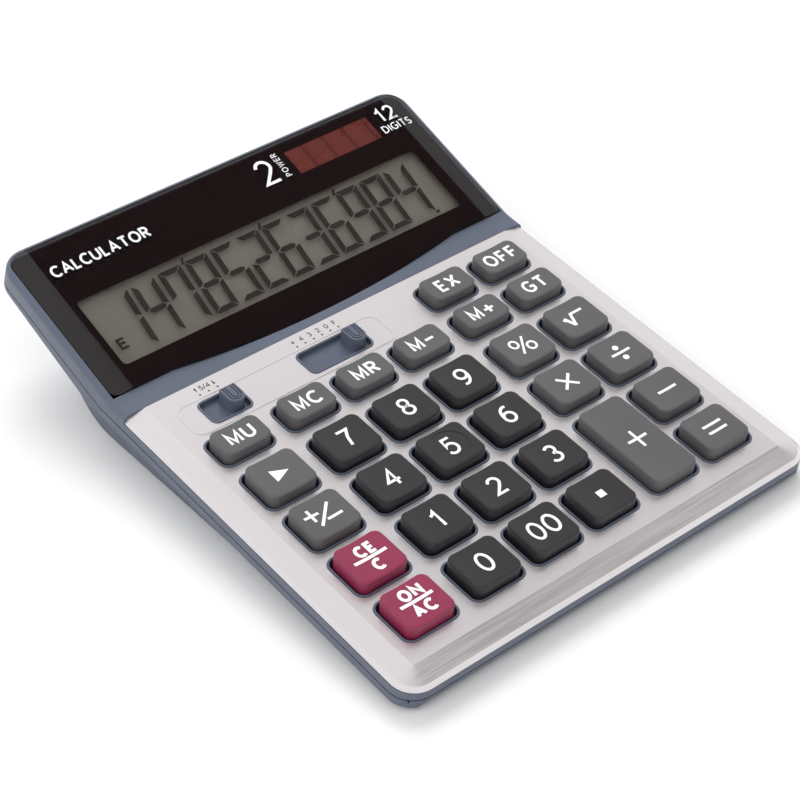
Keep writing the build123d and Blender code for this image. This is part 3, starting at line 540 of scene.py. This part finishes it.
def stacked_legend(over, under, lift):
    """Two short words above and below a bar."""
    lines = moved(word_lines(over, STACKED, STACKED_GAP), OVER_BAR[0], OVER_BAR[1] + lift)
    lines += moved(word_lines(under, STACKED, STACKED_GAP), UNDER_BAR[0], UNDER_BAR[1] + lift)
    lines.append(([(-STACKED_BAR, lift), (STACKED_BAR, lift)], False))
    return strips_of(lines, BOLD)


def sign_strips():
    """Plus over minus with a slanting stroke."""
    lines = [
        ([(-6.1 * MM, 1.4 * MM), (-1.2 * MM, 1.4 * MM)], False),
        ([(-3.65 * MM, -1.05 * MM), (-3.65 * MM, 3.85 * MM)], False),
        ([(-3.2 * MM, -3.2 * MM), (3.2 * MM, 3.4 * MM)], False),
        ([(-0.4 * MM, -1.9 * MM), (4.6 * MM, -1.9 * MM)], False),
    ]
    return strips_of(lines, LINE)


def root_strips():
    """Root sign with its heavier short stroke."""
    light = [([(-2.35 * MM, -2.9 * MM), (-0.55 * MM, 2.0 * MM), (3.9 * MM, 2.0 * MM)], False)]
    heavy = [([(-4.5 * MM, 0.2 * MM), (-3.6 * MM, 0.7 * MM), (-2.3 * MM, -2.7 * MM)], False)]
    return strips_of(light, LINE) + strips_of(heavy, ROOT_HEAVY)


def percent_strips():
    """Two rings either side of a slanting stroke."""
    x, y = PERCENT_PLACE
    lines = [(ring(-x, y, *PERCENT_RING), True),
             (ring(x, -y, *PERCENT_RING), True),
             ([(-2.1 * MM, -3.3 * MM), (2.1 * MM, 3.3 * MM)], False)]
    return strips_of(lines, PERCENT_LINE)


def triangle_strip():
    """Solid triangle pointing right."""
    left = [Vector((TRIANGLE_BACK, TRIANGLE_HALF)), Vector((TRIANGLE_TIP, TIP_HALF))]
    right = [Vector((TRIANGLE_BACK, -TRIANGLE_HALF)), Vector((TRIANGLE_TIP, -TIP_HALF))]
    return [(left, right, False)]


level_bar = band(-HALF, HALF, -LINE / 2, LINE / 2)
legends = {
    "key_shift": triangle_strip(),
    "key_sign": sign_strips(),
    "key_clear_entry": stacked_legend("CE", "C", 0.0),
    "key_on_clear": stacked_legend("ON", "AC", 0.4 * MM),
    "key_point": [band(-POINT_HALF, POINT_HALF, -POINT_HALF, POINT_HALF)],
    "key_percent": percent_strips(),
    "key_root": root_strips(),
    "key_multiply": strips_of([([(-CROSS, -CROSS), (CROSS, CROSS)], False),
                               ([(-CROSS, CROSS), (CROSS, -CROSS)], False)], LINE),
    "key_divide": [level_bar, disc_strip(0, DIVIDE_DOT_Y, DIVIDE_DOT),
                   disc_strip(0, -DIVIDE_DOT_Y, DIVIDE_DOT)],
    "key_minus": [level_bar],
    "key_plus": [level_bar, band(-LINE / 2, LINE / 2, -HALF, HALF)],
    "key_equals": [band(-HALF, HALF, EQUALS_Y, EQUALS_Y + LINE),
                   band(-HALF, HALF, -EQUALS_Y - LINE, -EQUALS_Y)],
}
words = {"key_mark_up": "MU", "key_memory_clear": "MC", "key_memory_recall": "MR", "key_memory_minus": "M-",
         "key_memory_plus": "M+", "key_exchange": "EX", "key_off": "OFF", "key_grand_total": "GT",
         "key_00": "00"}
words.update({f"key_{n}": str(n) for n in range(10)})
for name, text in words.items():
    legends[name] = strips_of(legend(name, text), LINE)


def surface_of(name, middle):
    """Height of a key's top over the deck at local x, y round the middle point."""
    key = nodes[name]
    above = 20 * MM

    def height(x, y):
        start = deck.place((middle[0] + x, middle[1] + y, above))
        hit, point = key.ray_cast(start, -deck.up)[:2]
        return (point - deck.zero).dot(deck.up) if hit else 0.0

    return height


def finely(strips, longest):
    """The same strips with long straight runs divided, so that they can follow a curved surface."""
    fine = []
    for left, right, closed in strips:
        new_left, new_right = [], []
        count = len(left)
        for i in range(count if closed else count - 1):
            a, b = left[i], left[(i + 1) % count]
            c, d = right[i], right[(i + 1) % count]
            parts = max(1, int(max((b - a).length, (d - c).length) / longest))
            for k in range(parts):
                new_left.append(a.lerp(b, k / parts))
                new_right.append(c.lerp(d, k / parts))
        if not closed:
            new_left.append(left[-1])
            new_right.append(right[-1])
        fine.append((new_left, new_right, closed))
    return fine


for name, strips in legends.items():
    low, high = deck.span(name)
    middle = (low + high) / 2
    shape = Axes(deck.up)
    shape.zero = deck.place((middle[0], middle[1], 0))
    top = surface_of(name, middle)
    mesh = slab_mesh("legend_" + name, finely(strips, LONGEST_RUN), shape, top, PRINT)
    new_object("legend_" + name, mesh, materials["print_white"], name)

# ------------------------------------------------------------------ plate printing
DOT_V = 121.6 * MM
TEXT_V = 123.9 * MM
DOT_STEP = 3.14 * MM
SMALL = 1.65 * MM
THIN = 0.28 * MM
SMALL_GAP = 0.4 * MM
DOT_RADIUS = 0.33 * MM
marks = []
# marks from right to left, the rightmost over the knob at rest
for name, texts in (("round_switch_knob", ("_", "5/4", "^")), ("decimal_switch_knob", "F0234+")):
    knob_low, knob_high = deck.span(name)
    for i, text in enumerate(texts):
        x = (knob_low[0] + knob_high[0]) / 2 - i * DOT_STEP
        marks.append(disc_strip(x, DOT_V, DOT_RADIUS))
        marks += strips_of(moved(word_lines(text, SMALL, SMALL_GAP), x, TEXT_V), THIN)
mesh = slab_mesh("plate_marks", marks, deck, lambda x, y: 0.0, PRINT)
new_object("plate_marks", mesh, materials["plate_ink"], "case")

# ------------------------------------------------------------------ window printing
# centre lines, x, s, turn in degrees, line width
window_words = [
    (word_lines("CALCULATOR", 3.6 * MM, 1.2 * MM), -48.6 * MM, 47.7 * MM, 0, 0.75 * MM),
    (word_lines("2", 8.8 * MM, 0), 15.3 * MM, 49.6 * MM, 0, 1.1 * MM),
    (word_lines("POWER", 1.9 * MM, 0.75 * MM), 21.4 * MM, 50.0 * MM, 90, 0.3 * MM),
    (word_lines("12", 5.1 * MM, 1.7 * MM), 65.6 * MM, 51.9 * MM, 0, 0.85 * MM),
    (word_lines("DIGITS", 2.6 * MM, 0.85 * MM), 66.2 * MM, 46.3 * MM, 0, 0.42 * MM),
]
strips = []
for lines, x, s, turn, width in window_words:
    strips += strips_of(moved(lines, x, s, turn), width)
mesh = slab_mesh("window_words", strips, head, lens_top, PRINT)
new_object("window_words", mesh, materials["print_white"], "case")

# ------------------------------------------------------------------ display figures
SEGMENTS = {"0": "abcdef", "1": "bc", "2": "abged", "3": "abgcd", "4": "fgbc", "5": "afgcd",
            "6": "afgedc", "7": "fabc", "8": "abcdefg", "9": "abcdfg"}
DIGIT_PITCH = 9.78 * MM
DIGIT_WIDTH = 8.3 * MM
DIGIT_HEIGHT = 21.2 * MM
BAR = 1.85 * MM
MITRE_GAP = 0.22 * MM
SLANT = tan(radians(5.8))
DIGIT_BASE = 12.9 * MM
LAST_DIGIT_X = 57.0 * MM
glass_high = head.span("lcd_glass")[1]
DIGIT_SHIFT = 4.0 * MM
FIGURES_LIFT = 0.01 * MM
FIGURES_THICKNESS = 0.02 * MM
TIP_OPENING = 0.005 * MM
POINT_START = DIGIT_WIDTH - 0.4 * MM
POINT_STOP = DIGIT_WIDTH + 1.1 * MM
POINT_DROP = -0.9 * MM
TICK_START = (DIGIT_WIDTH + 0.5 * MM, DIGIT_HEIGHT - 0.6 * MM)
TICK_STOP = (DIGIT_WIDTH + 1.5 * MM, DIGIT_HEIGHT + 1.6 * MM)
TICK_WIDTH = 0.9 * MM
SHOWN = "147852636984"
TICKED = (2, 5, 8)


def segments():
    """Left and right edges of an upright figure's seven segments, origin at its lower left corner."""
    w, h, b, g = DIGIT_WIDTH, DIGIT_HEIGHT, BAR, MITRE_GAP
    mid = h / 2
    ends = (b * 0.5 + g, w - b * 0.5 - g)
    inner = (b + g, w - b - g)
    upper, lower = mid + b / 2 + TIP_OPENING, mid - b / 2 - TIP_OPENING
    return {
        "a": ([(g, h), (w - g, h)], [(inner[0], h - b), (inner[1], h - b)]),
        "d": ([(inner[0], b), (inner[1], b)], [(g, 0), (w - g, 0)]),
        "g": ([(ends[0], mid + TIP_OPENING), (inner[0], upper), (inner[1], upper),
               (ends[1], mid + TIP_OPENING)],
              [(ends[0], mid - TIP_OPENING), (inner[0], lower), (inner[1], lower),
               (ends[1], mid - TIP_OPENING)]),
        "f": ([(0, h - g), (0, mid + g)], [(b, h - b - g), (b, mid + b / 2 + g)]),
        "e": ([(0, mid - g), (0, g)], [(b, mid - b / 2 - g), (b, b + g)]),
        "b": ([(w, h - g), (w, mid + g)], [(w - b, h - b - g), (w - b, mid + b / 2 + g)]),
        "c": ([(w, mid - g), (w, g)], [(w - b, mid - b / 2 - g), (w - b, b + g)]),
    }


def slanted(points, x0):
    """Points of a figure leaning to the right, on the display's base line."""
    return [Vector((x0 + x + y * SLANT, DIGIT_BASE + y)) for x, y in points]


figures = []
edges = segments()
for i, figure in enumerate(SHOWN):
    x0 = LAST_DIGIT_X - DIGIT_WIDTH / 2 - DIGIT_PITCH * (len(SHOWN) - 1 - i) - DIGIT_SHIFT
    for letter in SEGMENTS[figure]:
        left, right = edges[letter]
        figures.append((slanted(left, x0), slanted(right, x0), False))
    if i in TICKED:
        tick = [TICK_START, TICK_STOP]
        wide = [(x + TICK_WIDTH, y) for x, y in tick]
        figures.append((slanted(tick, x0), slanted(wide, x0), False))
# decimal point after the last figure
figures.append((slanted([(POINT_START, 0), (POINT_STOP, 0)], x0),
                slanted([(POINT_START, POINT_DROP), (POINT_STOP, POINT_DROP)], x0), False))
figures += strips_of(moved(word_lines("E", 3.3 * MM, 0, 1.4), -60.4 * MM, 17.8 * MM), 0.85 * MM)
mesh = slab_mesh("display_figures", figures, head, lambda x, y: glass_high[2] + FIGURES_LIFT,
                 FIGURES_THICKNESS)
new_object("display_figures", mesh, materials["display_ink"], "case")

# ------------------------------------------------------------------ floor, lights, camera
FLOOR_SIZE = 6.0
floor_mesh = bpy.data.meshes.new("floor")
work = bmesh.new()
bmesh.ops.create_grid(work, x_segments=4, y_segments=4, size=FLOOR_SIZE / 2)
work.to_mesh(floor_mesh)
work.free()
floor = bpy.data.objects.new("floor", floor_mesh)
bpy.context.scene.collection.objects.link(floor)
floor_shader = Shader("pale_floor", Roughness=0.6)
floor_shader.colour(floor_shader.noise(3.0), [(0.3, (0.86, 0.86, 0.86)), (0.7, (0.88, 0.88, 0.88))])
floor_mesh.materials.append(floor_shader.material)

world = bpy.data.worlds.new("studio")
bpy.context.scene.world = world
world.use_nodes = True
sky = world.node_tree
# the part of the studio that the window mirrors towards the camera is dark
SHADE_WAY = (0.502, 0.077, 0.861)
SKY_STOPS = ((0.945, (1.0, 1.0, 1.0, 1)), (0.978, (0.07, 0.04, 0.04, 1)))
direction = sky.nodes.new("ShaderNodeTexCoord").outputs["Generated"]
facing = sky.nodes.new("ShaderNodeVectorMath")
facing.operation = "DOT_PRODUCT"
facing.inputs[1].default_value = SHADE_WAY
sky.links.new(direction, facing.inputs[0])
shade = sky.nodes.new("ShaderNodeValToRGB")
for stop, (position, colour) in zip(shade.color_ramp.elements, SKY_STOPS):
    stop.position = position
    stop.color = colour
sky.links.new(facing.outputs["Value"], shade.inputs["Fac"])
sky.links.new(shade.outputs["Color"], sky.nodes["Background"].inputs["Color"])
sky.nodes["Background"].inputs["Strength"].default_value = 0.86


def softbox(name, place, size, power, target=(0, 0, 0.02)):
    """A square area light aimed at the object."""
    light = bpy.data.lights.new(name, "AREA")
    light.shape = "SQUARE"
    light.size = size
    light.energy = power
    lamp = bpy.data.objects.new(name, light)
    lamp.location = place
    lamp.rotation_euler = (Vector(target) - Vector(place)).to_track_quat("-Z", "Y").to_euler()
    lamp.visible_glossy = False
    lamp.visible_transmission = False
    bpy.context.scene.collection.objects.link(lamp)


softbox("key_light", (0.5, 0.9, 1.3), 0.9, 14)
softbox("fill_light", (-1.1, -0.2, 0.9), 0.8, 5)

camera_data = bpy.data.cameras.new("camera")
camera_data.lens = 101.4
camera_data.sensor_width = 36.0
camera = bpy.data.objects.new("camera", camera_data)
# place and axes of the camera that give the picture's view of the model
CAMERA_PLACE = Vector((-336.86, -390.12, 437.23)) * MM
CAMERA_RIGHT = Vector((0.7655, -0.6433, 0.0179))
CAMERA_UP = Vector((0.4023, 0.5001, 0.7669))
CAMERA_BACK = CAMERA_RIGHT.cross(CAMERA_UP)
turn = Matrix((CAMERA_RIGHT, CAMERA_UP, CAMERA_BACK)).transposed()
camera.matrix_world = Matrix.Translation(CAMERA_PLACE) @ turn.to_4x4()
bpy.context.scene.collection.objects.link(camera)
bpy.context.scene.camera = camera
bpy.context.scene.view_settings.view_transform = "Standard"
